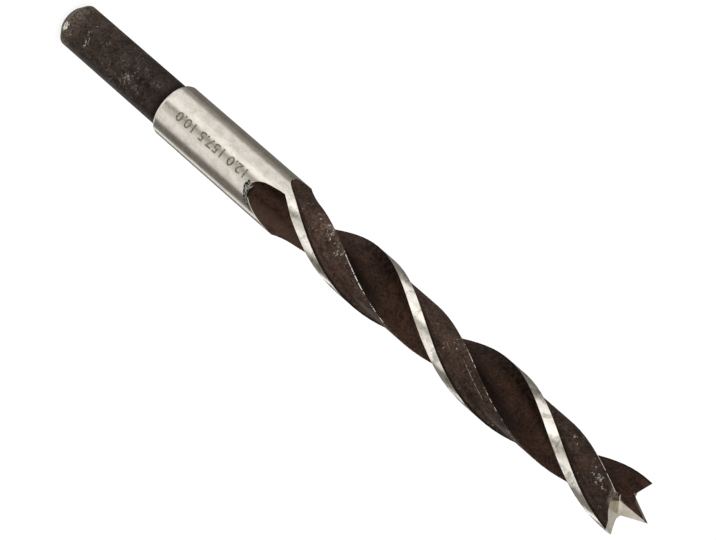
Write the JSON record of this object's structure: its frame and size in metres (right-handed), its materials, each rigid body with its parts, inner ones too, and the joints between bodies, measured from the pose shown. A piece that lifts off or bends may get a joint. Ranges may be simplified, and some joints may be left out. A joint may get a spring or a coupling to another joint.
{
  "type": "drill bit",
  "caption": "Brad-point wood drill bit: plain reduced shank, bright collar, right-hand twisted flutes with ground margins, spurs and a sharp centre point",
  "frame": {"origin": "centre of the shank's end face, on the bit's own axis", "axes": "+Z along the axis from the shank's end to the centre point; X along the two lips; the bit turns clockwise seen from the shank"},
  "size_m": [0.012, 0.012, 0.1575],
  "materials": {
    "bit_steel": "dark brown-black tempered steel, left bright on the ground collar, margins and point"
  },
  "bodies": {
    "root": {"drill_bit": "bit_steel"}
  },
  "joints": []
}
